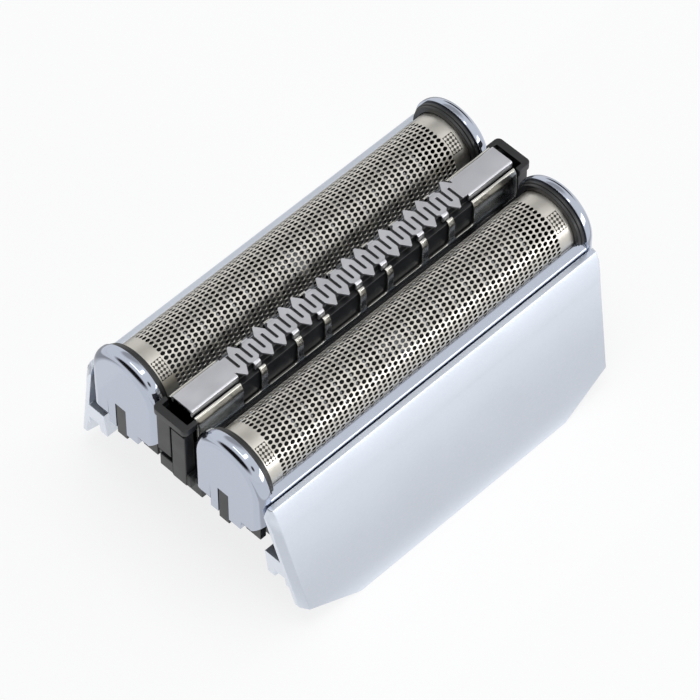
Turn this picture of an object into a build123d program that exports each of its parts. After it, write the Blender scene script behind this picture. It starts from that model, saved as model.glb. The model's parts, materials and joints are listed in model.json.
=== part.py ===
from build123d import *
import os
from math import cos, radians, sin, tan

# Shaver foil head: two foil cartridges and a middle trimmer, each floating on springs in one cassette.
# X runs along the foils, the front panel faces -Y, and Z = 0 is the lower edge of the two side panels.
# All sizes are in millimetres.

# Gaps between pieces, and what holds for every piece
running_gap = 0.1
fit_gap = 0.02
cut_past = 1.0
round_share = 0.8

# Foils
foil_radius = 4.6
foil_length = 51.8
foil_sheet = 0.15
foil_leg = 2.7
foil_spacing = 17.7
foil_hole_length = 2.9
foil_hole_width = 1.1
foil_hole_pitch = 5.0
foil_facet = 15.0
foil_hole_rows = 5
foil_plain_end = 2.4

# Foil frames and the black carriers inside them
rim_rise = 1.3
rim_wall = 0.9
rim_width = 1.75
rim_round = 1.4
end_wall = 0.7
end_wall_drop = 6.7
end_foot_drop = 8.2
end_foot_left = 2.3
end_foot_right = 2.8
end_corner_round = 1.2
end_corner_bevel = 1.7
rail_drop = 4.0
rail_shoulder = 0.9
flange_rise = 1.0
flange_width = 0.55
foil_end_gap = 0.5
support_width = 1.8
carrier_wall = 0.7
carrier_floor = 1.0
carrier_floor_drop = 5.1
carrier_floor_length = 4.1
tongue_width = 1.7
tongue_offset = 0.6
tongue_top_drop = 3.6
tongue_drop = 9.2
foot_inner = 2.4
foot_drop = 8.6

# Cutters
cutter_gap = 0.15
cutter_travel = 1.2
coupling_travel = 1.5
blade_band = 1.1
blade_thickness = 0.3
blade_pitch = 3.4
blade_facet = 30.0
blade_slot = 0.4
cutter_end_gap = 0.4
base_plate = 0.85
base_plate_top_drop = 1.4
keel_setback = 10.0
keel_width = 6.0
keel_drop = 4.7
stem_side = 3.2
barb_reach = 0.4
barb_height = 0.85
coupling_side = 6.0
coupling_flange = 1.0
spring_slack = 1.9
drive_bore_radius = 1.2
drive_bore_depth = 5.5
spring_wire = 0.4
spring_turns = 2.0

# Middle trimmer
trimmer_travel = 1.2
trimmer_rise = 4.65
trimmer_blade_travel = 1.0
trimmer_end_setback = 1.56
trimmer_blade_width = 3.52
trimmer_sheet = 0.3
trimmer_fold = 1.1
trimmer_fold_bevel = 0.25
finger_count = 18
finger_pitch = 2.12
finger_slot = 0.38
finger_slot_past = 0.93
finger_shoulder = 1.15
finger_reach = 2.28
finger_tip = 0.25
tab_width = 1.0
tab_cycle = 5
tab_fingers = (1, 4)
guard_sheet = 0.35
guard_setback = 0.04
guard_gap = 0.3
guard_lip_gap = 0.22
guard_shoulder_drop = 0.97
guard_low_drop = 4.85
guard_height = 5.0
post_shift = 0.4
window_round = 0.5
slider_setback = 2.14
slider_gap = 0.12
slider_body_drop = 1.45
arm_length = 3.2
arm_width = 2.2
arm_drop = 11.8
arm_bore_radius = 0.7
arm_bore_depth = 4.0
trimmer_bar_height = 3.4
trimmer_bar_setback = 0.94
cap_height = 1.1
cap_wall = 1.1
cap_side_wall = 0.7
cap_gap = 0.1
cap_floor = 0.4
leg_setback = 0.5
leg_root = 1.0

# Chassis
deck_drop = 9.9
deck_thickness = 2.0
deck_window_setback = 1.8
deck_spine = 6.8
deck_rail = 2.1
bar_drop = 8.2
bar_arm_height = 1.2
bar_middle_height = 2.1
bar_overlap = 0.5
bar_arm_reach = 2.15
bar_end_round = 1.0
riser_root = 1.0
post_setback = 0.6
post_side_gap = 0.9
post_seam = 0.4

# Float springs
float_travel = 1.5
leaf_sheet = 0.25
leaf_width = 1.6
leaf_span = 6.8
leaf_crown = 2.0
trimmer_leaf_span = 9.0
trimmer_leaf_setback = 13.14

# Side panels
panel_height = 21.13
panel_drop = 1.17
panel_end_setback = 0.2
panel_low_setback = 1.67
panel_low_corner = 3.8
panel_bottom_setback = 10.55
panel_wall = 1.5
panel_lean = 12.1
panel_crease_drop = 4.33
panel_crease_out = 2.15
panel_crown = 0.42
panel_lip = 0.25
panel_gap = 0.15
panel_corner_round = 0.5
panel_end_bevel = 0.9
ledge_thickness = 1.0
ledge_width = 1.5
ledge_setback = 4.5
wing_top_drop = 10.7
wing_height = 4.6
wing_reach = 2.6
wing_depth = 1.9
notch_height = 1.5
notch_width = 1.8
notch_edge = 1.25

# Places that follow from the sizes above
foil_axis_z = panel_height + panel_drop
foil_axis_y = foil_spacing / 2
foil_inner = foil_radius - foil_sheet
rim_radius = foil_radius + rim_rise
flange_x = foil_length / 2 + foil_end_gap
rim_x = flange_x + flange_width
frame_end = rim_x + rim_width
support_x = flange_x - support_width
middle_half = foil_axis_y - rim_radius
deck_top = foil_axis_z - deck_drop
leg_drop = bar_drop - bar_arm_height - float_travel - 2 * running_gap
base_length = 2 * (support_x - cutter_travel - cutter_end_gap)
spring_room = coupling_travel + spring_turns * spring_wire + spring_slack
coupling_flange_drop = keel_drop + spring_room + coupling_flange
blade_flat = (foil_inner - cutter_gap) * cos(radians(blade_facet / 2))
keel_length = base_length - 2 * keel_setback
deck_window_length = 2 * (support_x - deck_window_setback)
trimmer_blade_length = 2 * (frame_end - trimmer_end_setback)
guard_length = trimmer_blade_length - 2 * guard_setback
slider_length = trimmer_blade_length - 2 * slider_setback
trimmer_bar_length = trimmer_blade_length - 2 * trimmer_bar_setback
trimmer_leaf_place = trimmer_blade_length / 2 - trimmer_leaf_setback
comb_length = (finger_count + 0.5) * finger_pitch
panel_length = 2 * (frame_end - panel_end_setback)
panel_low_length = panel_length - 2 * panel_low_setback
panel_bottom_length = panel_length - 2 * panel_bottom_setback
ledge_length = panel_length - 2 * ledge_setback
wing_top = foil_axis_z - wing_top_drop
wing_bottom = wing_top - wing_height
panel_taper = (panel_length - panel_low_length) / 2 / (panel_height - panel_low_corner)
wing_start = panel_low_length / 2 + panel_taper * (wing_bottom - panel_low_corner) - wing_depth


def under_axis(drop):
    """The height that lies this far below the foil axes."""
    return foil_axis_z - drop


def block(x, y, z):
    """A box between two ends along each axis."""
    size = [high - low for low, high in (x, y, z)]
    middle = [(high + low) / 2 for low, high in (x, y, z)]
    return Pos(*middle) * Box(*size)


def along_x(face, start, end):
    """A section drawn in Y and Z, drawn out along X."""
    return extrude(Plane.YZ.offset(start) * face, end - start)


def closed(*corners):
    """A face with straight sides."""
    return make_face(Polyline(*corners, close=True))


def arch(radius, bottom):
    """A half round about the foil axis on two straight sides, as a section in Y and Z."""
    outline = Line((-radius, bottom), (-radius, foil_axis_z))
    outline += ThreePointArc((-radius, foil_axis_z), (0, foil_axis_z + radius), (radius, foil_axis_z))
    outline += Polyline((radius, foil_axis_z), (radius, bottom), (-radius, bottom))
    return make_face(outline)


def facet_arch(radius, bottom, step):
    """The same section with flat facets that touch the half round, one for each step of angle."""
    corner = radius / cos(radians(step / 2))
    angles = [radians(step * (index + 0.5)) for index in range(round(180 / step))]
    corners = [(-corner * cos(angle), foil_axis_z + corner * sin(angle)) for angle in angles]
    return closed((-radius, bottom), *corners, (radius, bottom))


def both_ends(end):
    """A part at the left end, and the same turned half round for the right end."""
    return end + Rot(0, 0, 180) * end


# The foil: a thin bent sheet with staggered rows of openings and plain ends.
def foil():
    bottom = under_axis(foil_leg)
    half = foil_length / 2
    section = facet_arch(foil_radius, bottom, foil_facet) - facet_arch(foil_inner, bottom, foil_facet)
    sheet = along_x(section, -half, half)
    run = foil_length - 2 * foil_plain_end - foil_hole_length
    columns = int(run / foil_hole_pitch) + 1
    tip = foil_hole_length / 2
    side = foil_hole_width / 2
    opening = closed((-tip, 0), (0, -side), (tip, 0), (0, side))
    cuts = []
    for row in range(foil_hole_rows):
        angle = radians((row - (foil_hole_rows - 1) / 2) * 2 * foil_facet)
        out = Vector(0, sin(angle), cos(angle))
        shift = foil_hole_pitch / 4 if row % 2 else -foil_hole_pitch / 4
        for column in range(columns):
            x = (column - (columns - 1) / 2) * foil_hole_pitch + shift
            start = Vector(x, 0, foil_axis_z) + out * (foil_inner - foil_sheet)
            seat = Plane(start, x_dir=(1, 0, 0), z_dir=out)
            cuts.append(extrude(seat * opening, 4 * foil_sheet))
    return sheet - cuts


# The chromed frame: a rounded arch at each end, two rails, and end walls with a slot for a tongue.
def foil_frame():
    wall_bottom = under_axis(end_wall_drop)
    rounding = min(rim_round, round_share * rim_width)
    half_way = rounding * cos(radians(45))
    steps = (
        (-rim_x, rim_radius),
        (rounding - frame_end, rim_radius),
        (rounding - half_way - frame_end, rim_radius - rounding + half_way),
        (-frame_end, rim_radius - rounding),
    )
    end = loft([Plane.YZ.offset(x) * arch(radius, wall_bottom) for x, radius in steps], ruled=True)
    face = arch(rim_radius, wall_bottom)
    low = face.vertices().group_by(Axis.Y)[0].sort_by(Axis.X)
    face = chamfer(low[0], end_corner_bevel)
    low = face.vertices().group_by(Axis.Y)[0].sort_by(Axis.X)
    face = fillet(low[-1], end_corner_round)
    end &= along_x(face, -frame_end, -rim_x)
    inner_face = end_wall - frame_end
    hollow = facet_arch(rim_radius - rim_wall, wall_bottom - cut_past, foil_facet)
    end -= along_x(hollow, inner_face, -rim_x)
    end -= block((inner_face, 0), (-rim_radius, rim_radius), (0, under_axis(leg_drop)))
    end += block(
        (-frame_end, inner_face),
        (-end_foot_left, end_foot_right),
        (under_axis(end_foot_drop), under_axis(tongue_top_drop)),
    )
    slot_half = tongue_width / 2 + running_gap / 2
    end -= block(
        (-frame_end - cut_past, inner_face + cut_past),
        (tongue_offset - slot_half, tongue_offset + slot_half),
        (0, under_axis(tongue_top_drop - running_gap)),
    )
    inside = foil_radius + fit_gap
    rail = closed(
        (inside, under_axis(rail_drop)),
        (rim_radius, under_axis(rail_drop)),
        (rim_radius, under_axis(rail_shoulder)),
        (rim_radius - rail_shoulder, foil_axis_z),
        (inside, foil_axis_z),
    )
    return both_ends(end + along_x(rail, -rim_x, rim_x))


# The black carrier: it bends the foil's ends, clips into the frame and rests on the leaf springs.
def foil_carrier():
    bottom = under_axis(carrier_floor_drop)
    tunnel = facet_arch(foil_inner - fit_gap - carrier_wall, bottom, foil_facet)
    band = along_x(facet_arch(foil_inner - fit_gap, bottom, foil_facet) - tunnel, -flange_x, -support_x)
    flange_radius = foil_radius + flange_rise
    flange = along_x(arch(flange_radius, under_axis(foil_leg)) - tunnel, -rim_x, -flange_x)
    for side in (-1, 1):
        beside = sorted((side * (foil_inner - fit_gap), side * rim_radius))
        flange -= block((-rim_x, -flange_x), beside, (0, foil_axis_z))
    plug_radius = rim_radius - rim_wall - running_gap
    plug_end = frame_end - end_wall - running_gap
    plug = along_x(facet_arch(plug_radius, under_axis(leg_drop), foil_facet), -plug_end, -rim_x)
    floor = block(
        (-rim_x, -rim_x + carrier_floor_length),
        (fit_gap - foil_inner, foil_inner - fit_gap),
        (bottom - carrier_floor, bottom),
    )
    tongue = block(
        (-frame_end + running_gap, -rim_x),
        (tongue_offset - tongue_width / 2, tongue_offset + tongue_width / 2),
        (under_axis(tongue_drop), under_axis(tongue_top_drop)),
    )
    foot = block((-plug_end, -rim_x), (-plug_radius, -foot_inner), (under_axis(foot_drop), bottom))
    side = block(
        (-flange_x, flange_x),
        (foil_inner - fit_gap - carrier_wall, foil_inner - fit_gap),
        (bottom - carrier_floor, under_axis(foil_leg)),
    )
    return both_ends(band + flange + plug + floor + tongue + foot + side)


# The cutter: a row of arched blades standing in slots of a plastic base.
def blade_places():
    count = int((base_length - 2 * blade_pitch) / blade_pitch)
    return [(index - (count - 1) / 2) * blade_pitch for index in range(count)]


def cutter_blades():
    bottom = under_axis(base_plate_top_drop + blade_slot)
    hollow = facet_arch(blade_flat - blade_band, bottom, blade_facet)
    section = facet_arch(blade_flat, bottom, blade_facet) - hollow
    half = blade_thickness / 2
    return [along_x(section, x - half, x + half) for x in blade_places()]


def cutter_base():
    plate_top = under_axis(base_plate_top_drop)
    end = base_length / 2
    side = blade_flat
    plate = block((-end, end), (-side, side), (plate_top - base_plate, plate_top))
    keel_end = keel_length / 2
    keel_side = keel_width / 2
    keel = block((-keel_end, keel_end), (-keel_side, keel_side), (under_axis(keel_drop), plate_top))
    half = blade_thickness / 2
    slots = []
    for x in blade_places():
        for low, high in ((-side, blade_band - side), (side - blade_band, side)):
            slots.append(block((x - half, x + half), (low, high), (plate_top - blade_slot, plate_top)))
    socket_side = stem_side / 2 + running_gap
    socket = block((-socket_side, socket_side), (-socket_side, socket_side), (0, foil_axis_z))
    return plate + keel - slots - socket


# The coupling takes the shaver's drive pin from below and slides up in the base against its coil spring.
def drive_coupling():
    bottom = under_axis(coupling_flange_drop)
    barb_bottom = under_axis(base_plate_top_drop) + fit_gap
    barb_top = barb_bottom + barb_height
    flange = coupling_side / 2
    stem = stem_side / 2
    coupling = block((-flange, flange), (-flange, flange), (bottom, bottom + coupling_flange))
    coupling += block((-stem, stem), (-stem, stem), (bottom, barb_bottom))
    barb_tip = stem + barb_reach
    barbs = closed((-barb_tip, barb_bottom), (barb_tip, barb_bottom), (stem, barb_top), (-stem, barb_top))
    coupling += along_x(barbs, -stem, stem)
    bore = Pos(0, 0, bottom) * Cylinder(
        drive_bore_radius, drive_bore_depth, align=(Align.CENTER, Align.CENTER, Align.MIN)
    )
    return coupling - bore


def cutter_spring():
    low = under_axis(coupling_flange_drop) + coupling_flange
    high = under_axis(keel_drop)
    radius = keel_width / 2 - spring_wire
    rise = high - low - spring_wire - 2 * fit_gap
    line = Pos(0, 0, low + spring_wire / 2 + fit_gap) * Helix(rise / spring_turns, rise, radius)
    start = Plane(origin=line @ 0, x_dir=(0, 0, 1), z_dir=line % 0)
    return sweep(start * Rectangle(spring_wire, spring_wire), path=line, is_frenet=True)


# A bent leaf that stands on the deck and lifts what rests on its crown.
def bent_leaf(span, height):
    half = span / 2
    crown = leaf_crown / 2
    lean = leaf_sheet * (half - crown) / height
    under = height - leaf_sheet
    return closed(
        (-half, 0), (-crown, height), (crown, height), (half, 0),
        (half - leaf_sheet - lean, 0), (crown - leaf_sheet / 2, under), (leaf_sheet / 2 - crown, under),
        (leaf_sheet + lean - half, 0),
    )


def float_spring(x, y):
    height = under_axis(carrier_floor_drop + carrier_floor) - deck_top
    leaf = along_x(bent_leaf(leaf_span, height), -leaf_width / 2, leaf_width / 2)
    return Pos(x, y, deck_top) * leaf


def trimmer_spring(x):
    height = trimmer_bar_top - trimmer_bar_height - deck_top
    leaf = extrude(Plane.XZ * bent_leaf(trimmer_leaf_span, height), leaf_width / 2, both=True)
    return Pos(x, 0, deck_top) * leaf


# The middle trimmer: heights are measured down from the top of its blade.
trimmer_top = foil_axis_z + trimmer_rise
guard_half = middle_half - guard_gap
shoulder_top = trimmer_top - guard_shoulder_drop
guard_bottom = shoulder_top - guard_height
trimmer_bar_top = guard_bottom
cap_end = trimmer_blade_length / 2 + trimmer_blade_travel + cap_wall + 2 * running_gap
cap_start = trimmer_blade_length / 2 + running_gap
cap_top = shoulder_top


def finger_places(side):
    """X of each finger along one edge of the comb; the two edges are half a pitch apart."""
    shift = side * finger_pitch / 4
    return [(index - (finger_count - 1) / 2) * finger_pitch + shift for index in range(finger_count)]


def tab_places(side):
    """X of the fingers that are folded down instead of pointed, the same on both edges turned half round."""
    places = finger_places(side)[::-side]
    return [x for index, x in enumerate(places) if index % tab_cycle in tab_fingers]


def post_places(side):
    """X of the guard's posts, one for each folded finger, every second one a little to one side of it."""
    return [x - side * post_shift * (1 - index % 2) for index, x in enumerate(tab_places(side))]


# The moving blade: a folded strip whose middle is cut from both edges into one serpentine line.
def comb_outline():
    half = comb_length / 2
    edge = trimmer_blade_width / 2
    root = (finger_pitch - finger_slot) / 2
    outline = Rectangle(2 * half, 2 * finger_shoulder)
    slots = []
    for side in (-1, 1):
        tabs = tab_places(side)
        for x in finger_places(side):
            tip, reach = (tab_width / 2, edge) if x in tabs else (finger_tip / 2, finger_reach)
            outline += closed(
                (x - root, 0), (x - root, side * finger_shoulder), (x - tip, side * reach),
                (x + tip, side * reach), (x + root, side * finger_shoulder), (x + root, 0),
            )
            slot = x - side * finger_pitch / 2
            low = slot - finger_slot / 2
            high = slot + finger_slot / 2
            corner = finger_slot / 4
            end = -side * finger_slot_past
            slots.append(closed(
                (low, side * finger_reach), (low, end + side * corner), (low + corner, end),
                (high - corner, end), (high, end + side * corner), (high, side * finger_reach),
            ))
    return outline - slots


def trimmer_blade():
    half = trimmer_blade_length / 2
    edge = trimmer_blade_width / 2
    fold_bottom = trimmer_top - trimmer_fold
    under = trimmer_top - trimmer_sheet
    blade = extrude(Plane.XY.offset(under) * comb_outline(), trimmer_sheet)
    strip = block((comb_length / 2, half), (-edge, edge), (fold_bottom, trimmer_top))
    strip = chamfer(strip.faces().sort_by(Axis.Z)[-1].edges().filter_by(Axis.X), trimmer_fold_bevel)
    hollow = edge - trimmer_sheet
    blade += both_ends(strip - block((0, half), (-hollow, hollow), (0, under)))
    for side in (-1, 1):
        fold = sorted((side * hollow, side * edge))
        for x in tab_places(side):
            blade += block((x - tab_width / 2, x + tab_width / 2), fold, (fold_bottom, trimmer_top))
    return blade


# The fixed guard: a channel with rolled shoulders, open windows, and a post beside each folded tab.
def trimmer_guard():
    half = guard_length / 2
    low_top = shoulder_top - guard_low_drop + guard_shoulder_drop
    lip = trimmer_blade_width / 2 + guard_lip_gap
    inside = guard_half - guard_sheet
    roll = guard_half - lip - fit_gap
    channel = block((-half, half), (-guard_half, guard_half), (guard_bottom, shoulder_top))
    channel = chamfer(channel.faces().sort_by(Axis.Z)[-1].edges().filter_by(Axis.X), roll / 2)
    floor_top = guard_bottom + guard_sheet
    channel -= block((-half, half), (-inside, inside), (floor_top, shoulder_top - guard_sheet))
    channel -= block((-half, half), (-lip, lip), (floor_top, shoulder_top + cut_past))
    for side in (-1, 1):
        ends = [-comb_length / 2]
        ends += sorted(x + offset * tab_width / 2 for x in post_places(side) for offset in (-1, 1))
        ends.append(comb_length / 2)
        for start, stop in zip(ends[::2], ends[1::2]):
            wall = sorted((side * inside / 2, side * (guard_half + cut_past)))
            window = block((start, stop), wall, (low_top, shoulder_top + cut_past))
            channel -= chamfer(window.edges().filter_by(Axis.Y).group_by(Axis.Z)[0], window_round)
    slot = arm_length / 2 + trimmer_blade_travel + running_gap
    arm_side = arm_width / 2 + running_gap
    arm_z = (guard_bottom - cut_past, floor_top + cut_past)
    return channel - block((-slot, slot), (-arm_side, arm_side), arm_z)


# The slider carries the blade, fills the guard behind its windows and reaches down as the arm that is driven.
def trimmer_slider():
    half_width = trimmer_blade_width / 2 - trimmer_sheet - slider_gap
    top = trimmer_top - trimmer_sheet
    bottom = guard_bottom + guard_sheet + slider_gap
    body_width = guard_half - guard_sheet - running_gap
    slider_x = (-slider_length / 2, slider_length / 2)
    slider = block(slider_x, (-half_width, half_width), (bottom, top))
    slider += block(slider_x, (-body_width, body_width), (bottom, trimmer_top - slider_body_drop))
    arm_bottom = under_axis(arm_drop)
    slider += block(
        (-arm_length / 2, arm_length / 2), (-arm_width / 2, arm_width / 2), (arm_bottom, top)
    )
    bore = Pos(0, 0, arm_bottom) * Cylinder(
        arm_bore_radius, arm_bore_depth, align=(Align.CENTER, Align.CENTER, Align.MIN)
    )
    return slider - bore


def trimmer_carrier():
    bar_half = guard_half - guard_sheet
    bar_bottom = trimmer_bar_top - trimmer_bar_height
    bar_end = trimmer_bar_length / 2
    bar = block((-bar_end, bar_end), (-bar_half, bar_half), (bar_bottom, trimmer_bar_top))
    slot = arm_length / 2 + trimmer_blade_travel + running_gap
    arm_side = arm_width / 2 + running_gap
    bar -= block((-slot, slot), (-arm_side, arm_side), (bar_bottom - cut_past, trimmer_bar_top + cut_past))
    cap_half = middle_half - cap_gap
    cap = block((-cap_end, -cap_start), (-cap_half, cap_half), (cap_top - cap_height, cap_top))
    rim_edges = cap.edges().filter_by(Axis.Z).group_by(Axis.X)[0]
    cap = fillet(rim_edges, cap_side_wall)
    pocket_half = cap_half - cap_side_wall
    pocket_z = (cap_top - cap_height + cap_floor, cap_top + cut_past)
    cap -= block((cap_wall - cap_end, 0), (-pocket_half, pocket_half), pocket_z)
    leg = block(
        (leg_setback - cap_end, leg_root - bar_end),
        (post_seam, guard_half),
        (bar_bottom, cap_top - cap_height),
    )
    leg -= block((-cap_start, 0), (0, middle_half), (guard_bottom, cap_top))
    return both_ends(cap + leg) + bar


# The chassis: a deck with a window under each foil, and at each end a bar and a post between the arches.
def chassis():
    deck_bottom = deck_top - deck_thickness
    window_outer = foil_axis_y + foil_radius + rim_rise / 2
    deck_half = window_outer + deck_rail
    half = wing_start - 2 * running_gap
    deck = block((-half, half), (-deck_half, deck_half), (deck_bottom, deck_top))
    window_half = deck_window_length / 2
    for side in (-1, 1):
        window_y = sorted((side * deck_spine / 2, side * window_outer))
        deck -= block((-window_half, window_half), window_y, (deck_bottom - cut_past, deck_top + cut_past))
    slot = arm_length / 2 + trimmer_blade_travel + 2 * running_gap
    arm_side = arm_width / 2 + 2 * running_gap
    deck -= block((-slot, slot), (-arm_side, arm_side), (deck_bottom - cut_past, deck_top + cut_past))
    bar_bottom = under_axis(bar_drop)
    bar_inner = rim_x - bar_overlap
    arm_end = frame_end - end_wall - 1.5 * running_gap
    low_end = -middle_half - bar_arm_reach
    high_end = foil_axis_y - (rim_radius - rim_wall - running_gap) - 2 * running_gap
    arms_x = (-arm_end, -rim_x - running_gap)
    arms = block(arms_x, (low_end, high_end), (bar_bottom, bar_bottom + bar_arm_height))
    arms = fillet(arms.edges().filter_by(Axis.X).group_by(Axis.Z)[0], bar_end_round)
    middle = guard_half
    core = block((-frame_end, -bar_inner), (-middle, middle), (bar_bottom, bar_bottom + bar_middle_height))
    riser_x = (-bar_inner - bar_overlap, riser_root - half)
    riser = block(riser_x, (-middle, middle), (deck_bottom, bar_bottom + bar_middle_height))
    post_top = cap_top - cap_height - trimmer_travel - 2 * running_gap
    post = block(
        (post_setback - cap_end, -guard_length / 2 - 2 * running_gap),
        (post_side_gap - middle_half, post_seam - running_gap),
        (bar_bottom, post_top),
    )
    return deck + both_ends(arms + core + riser + post)


# The side panel: a leaning skin with a crowned upper band, a ledge for the deck and a catch tab at each end.
def side_panel():
    inner = foil_axis_y + rim_radius + panel_gap
    slope = tan(radians(panel_lean))
    crease = Vector(inner + panel_crease_out, panel_height - panel_crease_drop)
    top_edge = Vector(inner + panel_lip, panel_height)
    foot = crease.X + slope * crease.Y
    wall_run = panel_wall / cos(radians(panel_lean))
    upright = (foot - wall_run - inner) / slope
    chord = crease - top_edge
    bulge = (top_edge + crease) / 2 + Vector(-chord.Y, chord.X).normalized() * panel_crown
    outline = Line((inner, panel_height), top_edge)
    outline += ThreePointArc(top_edge, bulge, crease)
    outline += Polyline(crease, (foot, 0), (foot - wall_run, 0), (inner, upright), (inner, panel_height))
    half = panel_length / 2
    skin = along_x(make_face(outline), -half, half)

    def inside(z):
        """Y of the middle of the wall at a height."""
        return foot - wall_run / 2 - slope * z

    def on_skin(edge):
        """True for an edge along the outer face."""
        middle = edge @ 0.5
        return middle.Y > inside(middle.Z) + wall_run / 4

    def inward(edge, low, high):
        """A section that reaches in from the wall to an edge."""
        return closed((edge, low), (inside(low), low), (inside(high), high), (edge, high))

    ledge_top = deck_top - deck_thickness
    ledge_bottom = ledge_top - ledge_thickness
    ledge_edge = foot - wall_run - slope * ledge_top - ledge_width
    ledge = inward(ledge_edge, ledge_bottom, ledge_top)
    skin += along_x(ledge, -ledge_length / 2, ledge_length / 2)
    wing_edge = foot - wall_run - slope * wing_top - wing_reach
    wing = inward(wing_edge, wing_bottom, wing_top)
    notch = (wing_edge + notch_edge, wing_edge + notch_edge + notch_width)
    for side in (-1, 1):
        ends = sorted((side * wing_start, side * half))
        skin += along_x(wing, *ends)
        skin -= block(ends, notch, (wing_bottom - cut_past, wing_bottom + notch_height))
    low_half = panel_low_length / 2
    bottom_half = panel_bottom_length / 2
    view = closed(
        (-half, panel_height),
        (-low_half, panel_low_corner),
        (-bottom_half, 0),
        (bottom_half, 0),
        (low_half, panel_low_corner),
        (half, panel_height),
    )
    panel = (skin & extrude(Plane.XZ * view, 2 * foot, both=True)).solid()
    end_faces = panel.faces().sort_by(Axis.X)
    end_edges = [edge for face in (end_faces[0], end_faces[-1]) for edge in face.edges() if on_skin(edge)]
    panel = chamfer(end_edges, min(panel_end_bevel, round_share * panel_wall))
    low_corners = [corner for corner in view.vertices() if corner.Y < panel_height / 2]
    soft_view = fillet(low_corners, panel_corner_round)
    return panel & extrude(Plane.XZ * soft_view, 2 * foot, both=True)


os.makedirs("parts", exist_ok=True)


def save(name, shape):
    """Write one node, a single piece or a list of separate pieces."""
    pieces = shape if isinstance(shape, list) else [shape]
    export_step(Compound(children=pieces) if len(pieces) > 1 else pieces[0], f"parts/{name}.step")


makers = {
    "foil": foil,
    "foil_frame": foil_frame,
    "foil_carrier": foil_carrier,
    "cutter_blades": cutter_blades,
    "cutter_base": cutter_base,
    "drive_coupling": drive_coupling,
    "cutter_spring": cutter_spring,
}
leaf_x = rim_x - carrier_floor_length / 2
for node, maker in makers.items():
    shape = maker()
    pieces = shape if isinstance(shape, list) else [shape]
    for place, side in (("front", -1), ("rear", 1)):
        save(f"{place}_{node}", [Pos(0, side * foil_axis_y, 0) * piece for piece in pieces])
for place, side in (("front", -1), ("rear", 1)):
    for hand, end in (("left", -1), ("right", 1)):
        save(f"{place}_float_spring_{hand}", float_spring(end * leaf_x, side * foil_axis_y))
for hand, end in (("left", -1), ("right", 1)):
    save(f"trimmer_spring_{hand}", trimmer_spring(end * trimmer_leaf_place))
save("trimmer_blade", trimmer_blade())
save("trimmer_guard", trimmer_guard())
save("trimmer_slider", trimmer_slider())
save("trimmer_carrier", trimmer_carrier())
save("chassis", chassis())
panel = side_panel()
save("rear_panel", panel)
save("front_panel", Rot(0, 0, 180) * panel)
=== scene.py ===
# %% [markdown]
# # Dressing a shaver foil head
#
# A shaver foil head is a snap-on cassette: two perforated metal foils float in chromed frames, and a
# serpentine trimmer runs between them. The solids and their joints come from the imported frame. This
# lesson gives each solid its real surface: fine holes, rounded chrome, folded steel and moulded plastic.
# Everything is in metres, so sizes are written in millimetres and multiplied by `MM`.

# %% Load the frame and keep its box
import json
from math import cos, pi, radians, sin, sqrt, tan

import bmesh
import bpy
from mathutils import Matrix, Vector


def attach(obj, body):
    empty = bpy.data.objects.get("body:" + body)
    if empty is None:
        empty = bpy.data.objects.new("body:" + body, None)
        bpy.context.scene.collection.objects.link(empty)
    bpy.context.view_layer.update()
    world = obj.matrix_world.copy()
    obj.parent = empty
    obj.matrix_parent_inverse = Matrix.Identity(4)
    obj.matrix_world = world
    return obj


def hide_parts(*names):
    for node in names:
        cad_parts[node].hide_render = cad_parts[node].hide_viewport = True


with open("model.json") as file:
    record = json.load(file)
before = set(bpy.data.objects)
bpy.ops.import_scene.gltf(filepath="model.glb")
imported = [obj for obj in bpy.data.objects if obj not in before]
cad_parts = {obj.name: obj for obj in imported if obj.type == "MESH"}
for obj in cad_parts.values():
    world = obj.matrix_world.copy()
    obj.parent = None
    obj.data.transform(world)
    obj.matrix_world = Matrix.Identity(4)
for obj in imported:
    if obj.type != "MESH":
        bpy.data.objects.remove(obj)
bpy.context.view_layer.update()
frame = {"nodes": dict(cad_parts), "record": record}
MM = 0.001
scene = bpy.context.scene
scene.view_settings.view_transform = "Standard"

# %% [markdown]
# ## The camera
#
# The head was taken from far away with a long lens, from its left front and well above. A camera can be
# aimed with a constraint, but three axis vectors say exactly where right, up and back are, so the camera
# is placed with those. The lens follows from the focal length in pixels of a 700 pixel wide image.

# %% Place the camera
IMAGE_SIDE = 700
SENSOR = 36.0
focal_pixels = 4753.0
view_azimuth = radians(-44.654)
view_elevation = radians(52.356)
view_roll = radians(-0.283)
view_distance = 581.402 * MM
view_middle = Vector((0, 0, 14)) * MM
shift_right = 0.534 * MM
shift_down = 0.952 * MM

back = Vector((
    sin(view_azimuth) * cos(view_elevation),
    -cos(view_azimuth) * cos(view_elevation),
    sin(view_elevation),
))
level_right = Vector((0, 0, 1)).cross(back).normalized()
level_up = back.cross(level_right)
right = cos(view_roll) * level_right + sin(view_roll) * level_up
up = cos(view_roll) * level_up - sin(view_roll) * level_right
place = view_middle + back * view_distance + right * shift_right - up * shift_down

lens = bpy.data.cameras.new("camera")
lens.sensor_fit = "HORIZONTAL"
lens.sensor_width = SENSOR
lens.lens = focal_pixels * SENSOR / IMAGE_SIDE
lens.clip_start = 0.01
camera = bpy.data.objects.new("camera", lens)
scene.collection.objects.link(camera)
camera.matrix_world = Matrix.Translation(place) @ Matrix((right, up, back)).transposed().to_4x4()
scene.camera = camera
print("camera lens", round(lens.lens, 1), "mm")

# %% [markdown]
# ## Nodes and colours
#
# Materials and geometry trees are both made of nodes. One small function adds a node, sets its settings
# and joins its inputs, so that a tree reads as a list of steps. Colours are written as on a colour card,
# in sRGB, and turned to the linear values that the renderer works with. Real finishes are never quite
# even, so each finish of the head blends two colours, lets its roughness wander between two values and
# has a faint relief.

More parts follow.
